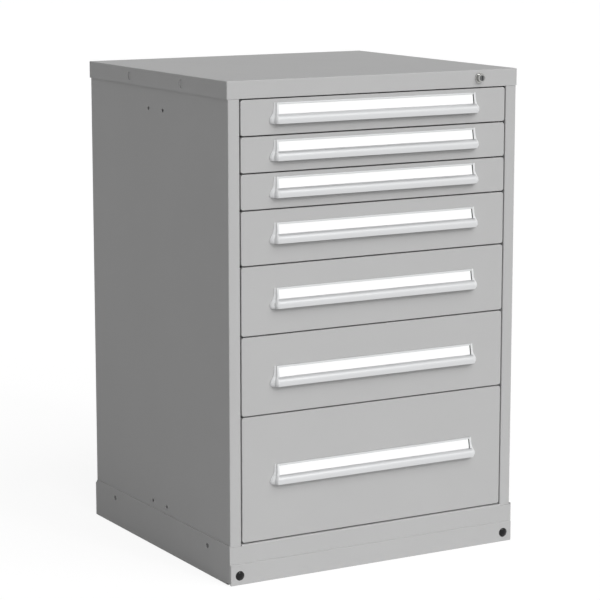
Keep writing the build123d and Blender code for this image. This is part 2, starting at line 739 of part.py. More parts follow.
def lock_cylinder():
    """Turning plug with its keyway in front and the crank and pin behind."""
    place = Pos(LOCK_X, LOCK_HEIGHT)
    plug = inward(place * Circle(LOCK_RADIUS), -LOCK_REACH, CRANK_FRONT)
    plug = fillet(plug.faces().sort_by(Axis.Y)[0].edges(), LOCK_EDGE_ROUND)
    crank = inward(place * Circle(CRANK_RADIUS), CRANK_FRONT, CRANK_FRONT + CRANK_THICK)
    pin_x, pin_z = crank_pin()
    pin_place = Pos(LOCK_X + pin_x, LOCK_HEIGHT + pin_z)
    pin = inward(pin_place * Circle(PIN_RADIUS), CRANK_FRONT, SLIDE_REAR + GUIDE_GAP)
    keyway = inward(
        place * Rectangle(KEYWAY_WIDE, KEYWAY_TALL), -LOCK_REACH - 1, KEYWAY_DEEP - LOCK_REACH
    )
    return plug + crank + pin - keyway


def lock_slide():
    """Flat slide: a tall slot takes the crank pin, and a slanted one lifts the lock bar."""
    pin_x, pin_z = crank_pin()
    middle = LOCK_HEIGHT
    plate = window(SLIDE_LEFT, SLIDE_RIGHT, middle - SLIDE_TALL / 2, middle + SLIDE_TALL / 2)
    width = 2 * (PIN_RADIUS + PIN_GAP)
    rise = CRANK_THROW - pin_z
    tall = rise + width + 2 * PIN_GAP
    slot_middle = Pos(LOCK_X + pin_x, LOCK_HEIGHT + pin_z + rise / 2)
    crank_slot = slot_middle * Rot(0, 0, 90) * SlotOverall(tall, width)
    run = LOCK_TRAVEL * math.sqrt(2)
    slant = Pos(BAR_PIN_X - LOCK_TRAVEL / 2, LOCK_HEIGHT) * Rot(0, 0, 135) * SlotOverall(
        run + width + 2 * PIN_GAP, width
    )
    return inward(plate - crank_slot - slant, SLIDE_FRONT, SLIDE_REAR)


def lock_bar():
    """Upright bar behind the right stile, with the pin that the slide lifts."""
    pin_height = LOCK_HEIGHT - LOCK_TRAVEL / 2
    bottom = front_bottom(len(FRONT_HEIGHTS) - 1) + BAR_FOOT
    bar = block(*BAR_X, *BAR_DEPTHS, bottom, pin_height + PIN_RADIUS + GUIDE_WALL)
    pin = Pos(BAR_PIN_X, pin_height) * Circle(PIN_RADIUS)
    return bar + inward(pin, SLIDE_FRONT - GUIDE_GAP, BAR_DEPTHS[0])


def lock_tabs():
    """A tab on the bar for each drawer; lifted, it stands in front of that drawer's catch."""
    tabs = []
    for number in range(len(FRONT_HEIGHTS)):
        low = front_bottom(number) + CATCH_RAISE - LOCK_TRAVEL
        tabs.append(block(FRONT_HALF + TAB_GAP, BAR_X[0], *BAR_DEPTHS, low, low + TAB_TALL))
    return group(tabs)


def lock_guides():
    """Two loops under the top pan for the slide, and three on the front post for the bar."""
    middle = LOCK_HEIGHT
    half = SLIDE_TALL / 2 + GUIDE_GAP
    top = CABINET_HEIGHT - SKIN
    guides = []
    for offset in GUIDE_OFFSETS:
        left = LOCK_X + offset
        right = left + 2 * GUIDE_WALL
        loop = block(left, right, SKIN, SLIDE_REAR + GUIDE_WALL, middle - half - SKIN, top)
        loop -= block(
            left - 1,
            right + 1,
            SLIDE_FRONT - GUIDE_GAP,
            SLIDE_REAR + GUIDE_GAP,
            middle - half,
            middle + half,
        )
        guides.append(loop)
    near = BAR_DEPTHS[0] - GUIDE_GAP
    far = BAR_DEPTHS[1] + GUIDE_GAP
    for number in (0, len(FRONT_HEIGHTS) // 2, len(FRONT_HEIGHTS) - 1):
        low = front_bottom(number) + RUNNER_HEIGHT
        if number == len(FRONT_HEIGHTS) - 1:
            low += CATCH_RAISE
        high = low + GUIDE_TALL
        loop = block(POST_FACE, BAR_X[1] + GUIDE_WALL, near - SHEET, POST_FRONT, low, high)
        loop -= block(BAR_X[0] - GUIDE_GAP, BAR_X[1] + GUIDE_GAP, near, far, low - 1, high + 1)
        guides.append(loop)
    return group(guides)


def write(name, shape):
    export_step(shape, os.path.join("parts", name + ".step"))


os.makedirs("parts", exist_ok=True)

right_side = side_panel()
write("right_side_panel", right_side)
write("left_side_panel", mirrored(right_side))
write("back_panel", back_panel())
write("top_panel", top_panel())
write("floor_panel", floor_panel())
write("base_frame", base_frame())
write("base_front_cover", base_front_cover())
write("cover_plugs", cover_plugs())
write("base_side_plugs", base_side_plugs())
write("rail_uprights", rail_uprights())
write("cabinet_rails", cabinet_rails())
write("lock_housing", lock_housing())
write("lock_cylinder", lock_cylinder())
write("lock_slide", lock_slide())
write("lock_bar", lock_bar())
write("lock_tabs", lock_tabs())
write("lock_guides", lock_guides())
for drawer in range(len(FRONT_HEIGHTS)):
    name = f"drawer_{drawer + 1}"
    write(name + "_tray", tray(drawer))
    write(name + "_front", front(drawer))
    write(name + "_handle", handle(drawer))
    write(name + "_handle_caps", handle_caps(drawer))
    write(name + "_label", label(drawer))
    write(name + "_carriage", carriage(drawer))
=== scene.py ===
import math

import bmesh
import bpy
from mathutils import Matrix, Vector


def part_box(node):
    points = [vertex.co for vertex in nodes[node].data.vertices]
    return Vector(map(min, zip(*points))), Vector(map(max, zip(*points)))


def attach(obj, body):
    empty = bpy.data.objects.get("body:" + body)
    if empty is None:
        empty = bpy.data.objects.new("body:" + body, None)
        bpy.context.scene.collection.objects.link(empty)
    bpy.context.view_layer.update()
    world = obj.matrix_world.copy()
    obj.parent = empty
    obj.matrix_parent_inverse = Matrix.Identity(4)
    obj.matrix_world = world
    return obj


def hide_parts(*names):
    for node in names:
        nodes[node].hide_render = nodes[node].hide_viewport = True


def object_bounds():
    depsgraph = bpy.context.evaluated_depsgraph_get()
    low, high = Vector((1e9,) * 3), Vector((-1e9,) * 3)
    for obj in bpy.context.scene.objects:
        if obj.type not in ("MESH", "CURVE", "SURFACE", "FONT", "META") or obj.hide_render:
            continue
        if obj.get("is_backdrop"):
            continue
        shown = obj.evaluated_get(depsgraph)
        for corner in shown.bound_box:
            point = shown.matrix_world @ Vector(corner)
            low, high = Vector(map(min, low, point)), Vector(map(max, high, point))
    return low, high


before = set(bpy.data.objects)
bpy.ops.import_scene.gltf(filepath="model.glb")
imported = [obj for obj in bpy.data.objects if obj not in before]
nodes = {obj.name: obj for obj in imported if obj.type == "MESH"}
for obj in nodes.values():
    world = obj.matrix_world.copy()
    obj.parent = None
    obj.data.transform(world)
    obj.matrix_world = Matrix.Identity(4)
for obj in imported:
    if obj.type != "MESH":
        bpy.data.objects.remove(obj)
cad_low, cad_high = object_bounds()

# Base
# Welded from folded 2.5 mm steel sheet, open underneath for a fork truck, and coated after
# welding. Its front is a web with a sill that the bottom drawer stands over.


def linear(colour):
    """sRGB hex to the linear colour that a shader takes."""
    parts = [int(colour[at : at + 2], 16) / 255 for at in (0, 2, 4)]
    lit = [part / 12.92 if part <= 0.04045 else ((part + 0.055) / 1.055) ** 2.4 for part in parts]
    return lit + [1.0]


def blank_material(name):
    material = bpy.data.materials.new(name)
    material.use_nodes = True
    material.node_tree.nodes.clear()
    return material, material.node_tree


def add_node(tree, kind, sockets=None, **settings):
    """Adds a node with its settings; each socket takes a value, or an output to link from."""
    node = tree.nodes.new(kind)
    for name, value in settings.items():
        setattr(node, name, value)
    for name, value in (sockets or {}).items():
        if isinstance(value, bpy.types.NodeSocket):
            tree.links.new(value, node.inputs[name])
        else:
            node.inputs[name].default_value = value
    return node


def dress(material, *names):
    """Gives CAD nodes their finish."""
    for name in names:
        for holder in nodes[name].material_slots:
            holder.material = material


# Satin powder coat: the eye sees an even light grey with a soft sheen, a faint orange peel, and
# a slight drift of tone from one part of a panel to the next.
COAT_GREY = "BABABA"
PEEL_SIZE = 0.0022
DRIFT_SIZE = 0.18
GRAIN_SIZE = 0.0007
powder_coat, tree = blank_material("satin_powder_coat_light_grey")
place = add_node(tree, "ShaderNodeTexCoord").outputs["Object"]
drift = add_node(
    tree, "ShaderNodeTexNoise", {"Vector": place, "Scale": 1 / DRIFT_SIZE, "Detail": 2.0}
)
tone = add_node(
    tree, "ShaderNodeMapRange", {"Value": drift.outputs["Fac"], "To Min": 0.98, "To Max": 1.02}
)
paint = add_node(
    tree,
    "ShaderNodeHueSaturation",
    {"Color": linear(COAT_GREY), "Value": tone.outputs["Result"]},
)
grain = add_node(
    tree, "ShaderNodeTexNoise", {"Vector": place, "Scale": 1 / GRAIN_SIZE, "Detail": 1.0}
)
sheen = add_node(
    tree, "ShaderNodeMapRange", {"Value": grain.outputs["Fac"], "To Min": 0.55, "To Max": 0.66}
)
peel = add_node(
    tree, "ShaderNodeTexNoise", {"Vector": place, "Scale": 1 / PEEL_SIZE, "Detail": 1.0}
)
skin = add_node(
    tree,
    "ShaderNodeBump",
    {"Height": peel.outputs["Fac"], "Strength": 0.3, "Distance": 0.00005},
)
surface = add_node(
    tree,
    "ShaderNodeBsdfPrincipled",
    {
        "Base Color": paint.outputs["Color"],
        "Roughness": sheen.outputs["Result"],
        "Specular IOR Level": 0.06,
        "Normal": skin.outputs["Normal"],
    },
)
add_node(tree, "ShaderNodeOutputMaterial", {"Surface": surface.outputs["BSDF"]})
dress(powder_coat, "base_frame")

# Front cover and its plugs
# A shallow coated pan closes the fork opening. Two bolts hold it, each under a black moulded
# cap; four more black plugs fill the bolt holes in the sides of the base.
dress(powder_coat, "base_front_cover")

# Moulded black nylon: deep black with a polished face, so it shows small sharp highlights over
# a faintly uneven moulded skin.
NYLON_BLACK = "070708"
MOULD_SIZE = 0.003
black_nylon, tree = blank_material("black_moulded_nylon")
place = add_node(tree, "ShaderNodeTexCoord").outputs["Object"]
flow = add_node(
    tree, "ShaderNodeTexNoise", {"Vector": place, "Scale": 1 / MOULD_SIZE, "Detail": 2.0}
)
gloss = add_node(
    tree, "ShaderNodeMapRange", {"Value": flow.outputs["Fac"], "To Min": 0.10, "To Max": 0.18}
)
skin = add_node(
    tree,
    "ShaderNodeBump",
    {"Height": flow.outputs["Fac"], "Strength": 0.2, "Distance": 0.0001},
)
surface = add_node(
    tree,
    "ShaderNodeBsdfPrincipled",
    {
        "Base Color": linear(NYLON_BLACK),
        "Roughness": gloss.outputs["Result"],
        "Specular IOR Level": 0.3,
        "Normal": skin.outputs["Normal"],
    },
)
add_node(tree, "ShaderNodeOutputMaterial", {"Surface": surface.outputs["BSDF"]})
dress(black_nylon, "cover_plugs", "base_side_plugs")

# Housing
# Two side sheets folded into stiles and rear lips, a floor and a folded top pan, spot-welded and
# coated with the base's grey. Blind rivets hold the flat back sheet on the rear lips.
dress(powder_coat, "right_side_panel", "left_side_panel", "back_panel", "floor_panel", "top_panel")
RIVET_RADIUS = 0.0032
RIVET_RISE = 0.0009
RIVET_INSET = 0.009
RIVETS_TALL = 7


def grown(made, seed, **given):
    """The plain mesh that a Geometry Nodes tree makes from a seed mesh and its named inputs."""
    holder = bpy.data.objects.new("holder", seed)
    bpy.context.scene.collection.objects.link(holder)
    modifier = holder.modifiers.new("growth", "NODES")
    modifier.node_group = made
    for item in made.interface.items_tree:
        if item.name in given and item.in_out == "INPUT":
            modifier[item.identifier] = given[item.name]
    bpy.context.view_layer.update()
    depsgraph = bpy.context.evaluated_depsgraph_get()
    mesh = bpy.data.meshes.new_from_object(holder.evaluated_get(depsgraph))
    bpy.data.objects.remove(holder)
    return mesh


def growing_tree(name, inputs):
    """An empty Geometry Nodes tree and its inputs: the geometry, then these, then the finish."""
    made = bpy.data.node_groups.new(name, "GeometryNodeTree")
    for label, kind in (("Seed", "Geometry"), *inputs, ("Finish", "Material")):
        made.interface.new_socket(label, in_out="INPUT", socket_type="NodeSocket" + kind)
    made.interface.new_socket("Grown", in_out="OUTPUT", socket_type="NodeSocketGeometry")
    return made, add_node(made, "NodeGroupInput").outputs


def end_tree(made, given, geometry):
    """Ends a growing tree: makes its instances real and gives them the finish."""
    real = add_node(made, "GeometryNodeRealizeInstances", {"Geometry": geometry})
    coated = add_node(
        made,
        "GeometryNodeSetMaterial",
        {"Geometry": real.outputs["Geometry"], "Material": given["Finish"]},
    )
    add_node(made, "NodeGroupOutput", {"Grown": coated.outputs["Geometry"]})


def piece(name, mesh, body, slot, *replaced):
    """Puts a finished mesh in the scene on its body, in place of the CAD nodes it stands for."""
    made = bpy.data.objects.new(name, mesh)
    bpy.context.scene.collection.objects.link(made)
    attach(made, body)
    if replaced:
        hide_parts(*replaced)


def studding_tree():
    """Geometry Nodes that set a domed rivet head on each point."""
    made, given = growing_tree("rivet_heads", [("Head", "Vector")])
    ball = add_node(made, "GeometryNodeMeshUVSphere", {"Segments": 16, "Rings": 8})
    head = add_node(
        made, "GeometryNodeTransform", {"Geometry": ball.outputs["Mesh"], "Scale": given["Head"]}
    )
    set_out = add_node(
        made,
        "GeometryNodeInstanceOnPoints",
        {"Points": given["Seed"], "Instance": head.outputs["Geometry"]},
    )
    end_tree(made, given, set_out.outputs["Instances"])
    return made


def rivets(name, body, slot, places, head, finish):
    """A piece made of like rivet heads, one at each place."""
    seed = bpy.data.meshes.new("places")
    seed.from_pydata(places, [], [])
    heads = grown(studding, seed, Head=head, Finish=finish)
    heads.shade_smooth()
    piece(name, heads, body, slot)


studding = studding_tree()
low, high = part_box("back_panel")
places = [
    (x, high.y, low.z + (high.z - low.z) * (step + 0.5) / RIVETS_TALL)
    for x in (low.x + RIVET_INSET, high.x - RIVET_INSET)
    for step in range(RIVETS_TALL)
]
rivets(
    "back_panel_rivets",
    "housing",
    "grey_paint",
    places,
    (RIVET_RADIUS, RIVET_RISE, RIVET_RADIUS),
    powder_coat,
)

# Suspension
# Slotted posts stand in the four corners, and C-shaped rails hook into them. They are folded
# from plated sheet and are left uncoated.

# Bright zinc plate: a cool grey metal, half matt, clouded by crystals a few millimetres wide.
ZINC = "B9BDC1"
CRYSTAL_SIZE = 0.006
zinc_plate, tree = blank_material("bright_zinc_plated_steel")
place = add_node(tree, "ShaderNodeTexCoord").outputs["Object"]
crystal = add_node(tree, "ShaderNodeTexVoronoi", {"Vector": place, "Scale": 1 / CRYSTAL_SIZE})
tone = add_node(
    tree,
    "ShaderNodeMapRange",
    {"Value": crystal.outputs["Distance"], "To Min": 0.93, "To Max": 1.05},
)
metal = add_node(
    tree, "ShaderNodeHueSaturation", {"Color": linear(ZINC), "Value": tone.outputs["Result"]}
)
matt = add_node(
    tree,
    "ShaderNodeMapRange",
    {"Value": crystal.outputs["Distance"], "To Min": 0.34, "To Max": 0.46},
)
surface = add_node(
    tree,
    "ShaderNodeBsdfPrincipled",
    {
        "Base Color": metal.outputs["Color"],
        "Metallic": 1.0,
        "Roughness": matt.outputs["Result"],
    },
)
add_node(tree, "ShaderNodeOutputMaterial", {"Surface": surface.outputs["BSDF"]})
dress(zinc_plate, "rail_uprights", "cabinet_rails")

# Drawers
# Seven coated trays with a pan for a front, on carriages of flat bar with steel rollers. Upright
# slots are pressed through each tray's sides and rear, one inch apart, for loose dividers.
DRAWERS = range(1, 8)
SLOTS = 25
SLOT_PITCH = 0.0254
SLOT_WIDE = 0.0026
SLOT_TALL = 0.034
SLOT_DEEP = 0.0018
# From the tray's floor to the first tier of slots, and from one tier to the next
SLOT_FOOT = 0.010
SLOT_RISE = 0.044
# Middle of the side walls and of the rear wall, and the first slot's place in a side wall
WALL_X = 0.3194
REAR_Y = 0.32215
SIDE_FIRST = -0.31335
# How far the tray's floor lies above its lowest edge, and its side walls' tops below its highest
FLOOR_RISE = 0.00525
HEM_DROP = 0.00925
AXLE_RADIUS = 0.0042
AXLE_RISE = 0.0012
# The faces of a carriage's bar that the rollers' axles come through, and their depths there
ROLLER_AXLES = ((0.3345, (0.01375, 0.29375)), (0.3375, (-0.29125, -0.01125)))
# Points nearer to each other than this are one point
SAME_POINT = 1e-6
FOLD_ANGLE = math.radians(30)


def slotting_tree():
    """Geometry Nodes that cut tiers of upright slots along one wall of a tray."""
    inputs = [
        ("First", "Vector"),
        ("Along", "Vector"),
        ("Count", "Int"),
        ("Rise", "Float"),
        ("Tiers", "Int"),
        ("Slot", "Vector"),
    ]
    made, given = growing_tree("divider_slots", inputs)
    punch = add_node(made, "GeometryNodeMeshCube", {"Size": given["Slot"]})
    climb = add_node(made, "ShaderNodeCombineXYZ", {"Z": given["Rise"]})
    tiers = add_node(
        made,
        "GeometryNodeMeshLine",
        {"Count": given["Tiers"], "Offset": climb.outputs["Vector"]},
    )
    column = add_node(
        made,
        "GeometryNodeInstanceOnPoints",
        {"Points": tiers.outputs["Mesh"], "Instance": punch.outputs["Mesh"]},
    )
    run = add_node(
        made,
        "GeometryNodeMeshLine",
        {"Count": given["Count"], "Start Location": given["First"], "Offset": given["Along"]},
    )
    rows = add_node(
        made,
        "GeometryNodeInstanceOnPoints",
        {"Points": run.outputs["Mesh"], "Instance": column.outputs["Instances"]},
    )
    punches = add_node(
        made, "GeometryNodeRealizeInstances", {"Geometry": rows.outputs["Instances"]}
    )
    cut = add_node(
        made,
        "GeometryNodeMeshBoolean",
        {"Mesh 1": given["Seed"], "Mesh 2": punches.outputs["Geometry"]},
        operation="DIFFERENCE",
        solver="MANIFOLD",
    )
    end_tree(made, given, cut.outputs["Mesh"])
    return made


slotting = slotting_tree()
for number in DRAWERS:
    dress(powder_coat, f"drawer_{number}_front")
    dress(zinc_plate, f"drawer_{number}_carriage")
    low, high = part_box(f"drawer_{number}_tray")
    copy = bmesh.new()
    copy.from_mesh(nodes[f"drawer_{number}_tray"].data)
    bmesh.ops.remove_doubles(copy, verts=copy.verts[:], dist=SAME_POINT)
    tray = bpy.data.meshes.new("tray")
    copy.to_mesh(tray)
    copy.free()
    foot = low.z + FLOOR_RISE + SLOT_FOOT
    first_tier = foot + SLOT_TALL / 2
    tiers = int((high.z - HEM_DROP - foot) / SLOT_RISE)
    backwards = (0.0, SLOT_PITCH, 0.0)
    side_slot = (SLOT_DEEP, SLOT_WIDE, SLOT_TALL)
    rear_first = -SLOT_PITCH * (SLOTS - 1) / 2
    rear_slot = (SLOT_WIDE, SLOT_DEEP, SLOT_TALL)
    for first, along, slot in (
        ((-WALL_X, SIDE_FIRST, first_tier), backwards, side_slot),
        ((WALL_X, SIDE_FIRST, first_tier), backwards, side_slot),
        ((rear_first, REAR_Y, first_tier), (SLOT_PITCH, 0.0, 0.0), rear_slot),
    ):
        tray = grown(
            slotting,
            tray,
            First=first,
            Along=along,
            Count=SLOTS,
            Rise=SLOT_RISE,
            Tiers=tiers,
            Slot=slot,
            Finish=powder_coat,
        )
    tray.shade_smooth()
    tray.set_sharp_from_angle(angle=FOLD_ANGLE)
    piece(
        f"drawer_{number}_slotted_tray",
        tray,
        f"drawer_{number}",
        "grey_paint",
        f"drawer_{number}_tray",
    )
    low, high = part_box(f"drawer_{number}_carriage")
    places = [
        (side * x, y, (low.z + high.z) / 2)
        for x, depths in ROLLER_AXLES
        for y in depths
        for side in (-1, 1)
    ]
    rivets(
        f"carriage_{number}_axle_heads",
        f"carriage_{number}",
        "zinc_steel",
        places,
        (AXLE_RISE, AXLE_RADIUS, AXLE_RADIUS),
        zinc_plate,
    )

# Handles
# Each pull is one aluminium extrusion: a strip for the card above and a rounded grip below. It
# is sawn to length and screwed to the front from behind.
HANDLE_TALL = 0.046
RIM_REACH = 0.0046
# Places in the section are (reach, height): the reach from the drawer's front, and the height
# above the pull's foot
RIM_FOOT = (0.0054, 0.042)
FIELD_TOP = (0.0040, 0.042)
FIELD_FOOT = (0.0082, 0.0205)
SHOULDER = (0.0092, 0.0205)
NOSE = (0.0175, 0.0085)
LIP = (0.0148, 0.0)
LIP_THICK = 0.0022
GRIP_THICK = 0.0031
CEILING = 0.0172
HEEL = (0.0020, 0.0150)
EDGE_RADIUS = 0.0004
EDGE_STEPS = 3
# The arc at a corner takes at most this share of the sides beside it
ARC_SHARE = 0.45
ARC_STEPS = 10
PRESS_ANGLE = math.radians(28)


def rounded(corners, radius, steps=EDGE_STEPS):
    """The corners of a closed outline, each turned into a short arc."""
    points = []
    for at, corner in enumerate(corners):
        here = Vector(corner)
        ends = [Vector(corners[at - 1]) - here, Vector(corners[(at + 1) % len(corners)]) - here]
        half = ends[0].angle(ends[1]) / 2
        cut = min(radius / math.tan(half), ends[0].length * ARC_SHARE, ends[1].length * ARC_SHARE)
        middle = here + (ends[0].normalized() + ends[1].normalized()).normalized() * (
            cut / math.cos(half)
        )
        first = here + ends[0].normalized() * cut - middle
        last = here + ends[1].normalized() * cut - middle
        for step in range(steps + 1):
            share = step / steps
            spoke = (first * (1 - share) + last * share).normalized() * first.length
            points.append(middle + spoke)
    return points


def bulge(start, end, centre):
    """Points between two ends of an arc in a vertical section, without the first one."""
    first = math.atan2(start[1] - centre[1], start[0] - centre[0])
    last = math.atan2(end[1] - centre[1], end[0] - centre[0])
    span = math.dist(start, centre)
    points = []
    for step in range(1, ARC_STEPS + 1):
        turn = first + (last - first) * step / ARC_STEPS
        points.append(
            Vector((centre[0] + span * math.cos(turn), centre[1] + span * math.sin(turn)))
        )
    return points


def centre_left_of(nose, point):
    """Centre of the arc that stands upright at the nose and passes through a point."""
    run = nose[0] - point[0]
    rise = point[1] - nose[1]
    return nose[0] - (run * run + rise * rise) / (2 * run), nose[1]


inside_nose = (NOSE[0] - GRIP_THICK, NOSE[1])
inside_lip = (LIP[0] - LIP_THICK, 0.0)
inside_top = (FIELD_FOOT[0], CEILING)
grip = bulge(SHOULDER, NOSE, centre_left_of(NOSE, SHOULDER))
grip += bulge(NOSE, LIP, centre_left_of(NOSE, LIP))
# The first and the last corner only give the arcs beside them their direction
head = rounded(
    [
        (0.0, HEEL[1]),
        (0.0, HANDLE_TALL),
        (RIM_REACH, HANDLE_TALL),
        RIM_FOOT,
        FIELD_TOP,
        FIELD_FOOT,
        SHOULDER,
        grip[2],
    ],
    EDGE_RADIUS,
)
outline = head[EDGE_STEPS + 1 : -EDGE_STEPS - 1] + grip
outline += [Vector(inside_lip)]
outline += bulge(inside_lip, inside_nose, centre_left_of(inside_nose, inside_lip))
outline += bulge(inside_nose, inside_top, centre_left_of(inside_nose, inside_top))
outline += [Vector((HEEL[0], CEILING)), Vector(HEEL), Vector((0.0, HEEL[1]))]


def extruding_tree():
    """Geometry Nodes that draw a flat section out to a length, as an extrusion press does."""
    made, given = growing_tree("extrusion", [("Length", "Float")])
    run = add_node(made, "ShaderNodeCombineXYZ", {"X": given["Length"]})
    drawn = add_node(
        made,
        "GeometryNodeExtrudeMesh",
        {
            "Mesh": given["Seed"],
            "Offset": run.outputs["Vector"],
            "Offset Scale": 1.0,
            "Individual": False,
        },
    )
    start = add_node(made, "GeometryNodeFlipFaces", {"Mesh": given["Seed"]})
    whole = add_node(made, "GeometryNodeJoinGeometry")
    made.links.new(drawn.outputs["Mesh"], whole.inputs[0])
    made.links.new(start.outputs["Mesh"], whole.inputs[0])
    closed = add_node(
        made, "GeometryNodeMergeByDistance", {"Geometry": whole.outputs[0], "Distance": SAME_POINT}
    )
    end_tree(made, given, closed.outputs["Geometry"])
    return made


# Satin anodised aluminium: a pale, nearly white metal with a soft silky glow, finely lined
# along its length by the press. The lines are drawn 0.5 mm apart so that they show at all.
ALUMINIUM = "DCDDDE"
DIE_LINE = 0.0005
LINE_LENGTH = 0.12
anodised, tree = blank_material("satin_anodised_aluminium")
place = add_node(tree, "ShaderNodeTexCoord").outputs["Object"]
stretched = add_node(
    tree,
    "ShaderNodeMapping",
    {"Vector": place, "Scale": (DIE_LINE / LINE_LENGTH, 1.0, 1.0)},
)
line = add_node(
    tree,
    "ShaderNodeTexNoise",
    {"Vector": stretched.outputs["Vector"], "Scale": 1 / DIE_LINE, "Detail": 2.0},
)
silk = add_node(
    tree, "ShaderNodeMapRange", {"Value": line.outputs["Fac"], "To Min": 0.34, "To Max": 0.46}
)
tone = add_node(
    tree, "ShaderNodeMapRange", {"Value": line.outputs["Fac"], "To Min": 0.97, "To Max": 1.03}
)
metal = add_node(
    tree, "ShaderNodeHueSaturation", {"Color": linear(ALUMINIUM), "Value": tone.outputs["Result"]}
)
surface = add_node(
    tree,
    "ShaderNodeBsdfPrincipled",
    {
        "Base Color": metal.outputs["Color"],
        "Metallic": 1.0,
        "Roughness": silk.outputs["Result"],
    },
)
add_node(tree, "ShaderNodeOutputMaterial", {"Surface": surface.outputs["BSDF"]})

extrusion = extruding_tree()
for number in DRAWERS:
    low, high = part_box(f"drawer_{number}_handle")
    section = bmesh.new()
    corners = [
        section.verts.new((high.x, high.y - reach, low.z + height)) for reach, height in outline
    ]
    section.faces.new(corners)
    section.normal_update()
    if section.faces[:][0].normal.x > 0:
        bmesh.ops.reverse_faces(section, faces=section.faces[:])
    seed = bpy.data.meshes.new("section")
    section.to_mesh(seed)
    section.free()
    bar = grown(extrusion, seed, Length=low.x - high.x, Finish=anodised)
    bar.shade_smooth()
    bar.set_sharp_from_angle(angle=PRESS_ANGLE)
    piece(
        f"drawer_{number}_pull",
        bar,
        f"drawer_{number}",
        "handle_aluminium",
        f"drawer_{number}_handle",
    )

# End caps
# A moulded cap closes each end of a pull: its rim carries on the grip and laps over the card, and
# beside the rim a soft lobe spreads to the drawer front. One screw from behind holds it.
CAP_LAP = 0.0040
CAP_PROUD = 0.0010
CAP_PLAY = 0.0001
CAP_EDGE = 0.0005
# Height above the pull's foot, then how far past the pull's end the rim and the lobe reach
CAP_LEVELS = (
    (0.0, 0.0062, 0.0135),
    (0.0042, 0.0076, 0.0158),
    (0.0085, 0.0078, 0.0158),
    (0.0125, 0.0070, 0.0145),
    (0.0165, 0.0052, 0.0118),
    (0.0205, 0.0038, 0.0092),
    (0.0270, 0.0026, 0.0068),
    (0.0350, 0.0018, 0.0056),
    (0.0460, 0.0012, 0.0046),
)
# Where the crease between lobe and rim lies, as a share of the reach, and how much of the rim's
# spread is left at its front
CREASE = 0.46
RIM_TAPER = 0.2
# How full the curves of lobe and rim are, as shares of their spread and reach
LOBE_FULLNESS = (0.72, 0.62)
RIM_FULLNESS = (0.8, 0.92)
FOOT_TUCK = 0.0007
FLANK_STEPS = 8
CAP_RINGS = 4
# Below the card a cap has no lap: the lap's points then lie in its flat end, at this share of the
# pull's reach
INNER_REACH = 0.9
MOULD_ANGLE = math.radians(35)


def grip_reach(height):
    """How far the pull's outer face stands out at a height."""
    if height > SHOULDER[1]:
        share = (height - SHOULDER[1]) / (HANDLE_TALL - SHOULDER[1])
        return SHOULDER[0] + (RIM_REACH - SHOULDER[0]) * share
    centre = centre_left_of(NOSE, SHOULDER if height > NOSE[1] else LIP)
    return centre[0] + math.sqrt((NOSE[0] - centre[0]) ** 2 - (height - NOSE[1]) ** 2)


def smooth_levels(levels, steps):
    """A soft curve through the levels, with a few more levels between each two."""
    finer = []
    for at in range(len(levels) - 1):
        near = [Vector(levels[max(0, min(at + k, len(levels) - 1))]) for k in (-1, 0, 1, 2)]
        for step in range(steps):
            t = step / steps
            finer.append(
                0.5
                * (
                    2 * near[1]
                    + (near[2] - near[0]) * t
                    + (2 * near[0] - 5 * near[1] + 4 * near[2] - near[3]) * t**2
                    + (3 * near[1] - near[0] - 3 * near[2] + near[3]) * t**3
                )
            )
    return finer + [Vector(levels[-1])]


def cap_ring(reach, face, rim, lobe, lap):
    """Plan outline of a cap at one height, as spread past the pull's end and reach."""
    foot = (lobe - FOOT_TUCK, 0.0)
    bulb = (lobe, FOOT_TUCK)
    crease = (rim, reach * CREASE)
    corner = (rim * RIM_TAPER - CAP_EDGE, reach)
    lobe_pull = (rim + LOBE_FULLNESS[0] * (lobe - rim), crease[1] * LOBE_FULLNESS[1])
    rim_pull = (rim * RIM_FULLNESS[0], reach * RIM_FULLNESS[1])
    ring = [(0.0, 0.0), foot, bulb]
    for start, pull, end in ((bulb, lobe_pull, crease), (crease, rim_pull, corner)):
        for step in range(1, FLANK_STEPS + 1):
            t = step / FLANK_STEPS
            ring.append(
                tuple(
                    (1 - t) ** 2 * first + 2 * t * (1 - t) * middle + t**2 * last
                    for first, middle, last in zip(start, pull, end)
                )
            )
    ring += [
        (CAP_EDGE - lap, reach),
        (-lap, reach - CAP_EDGE * min(1.0, lap / CAP_EDGE)),
        (-lap, face),
        (0.0, face),
    ]
    return ring


def end_cap(section, side, low, high):
    """Adds one cap to the mesh; the side is -1 for the left end and 1 for the right one."""
    rings = []
    for height, rim, lobe in smooth_levels(CAP_LEVELS, CAP_RINGS):
        pull = grip_reach(height)
        # At the shoulder's own height there are two rings, and the cap steps out onto the card
        if height < SHOULDER[1] + SAME_POINT:
            rings.append((height, cap_ring(pull, pull * INNER_REACH, rim, lobe, 0.0)))
        if height > SHOULDER[1] - SAME_POINT:
            rings.append(
                (height, cap_ring(pull + CAP_PROUD, pull + CAP_PLAY, rim, lobe, CAP_LAP))
            )
    end = high.x if side > 0 else low.x
    rows = [
        [
            section.verts.new((end + side * spread, high.y - reach, low.z + height))
            for spread, reach in ring
        ]
        for height, ring in rings
    ]
    count = len(rows[0])
    for under, over in zip(rows, rows[1:]):
        for at in range(count):
            after = (at + 1) % count
            section.faces.new((under[at], under[after], over[after], over[at]))
    section.faces.new(rows[0])
    section.faces.new(rows[-1])


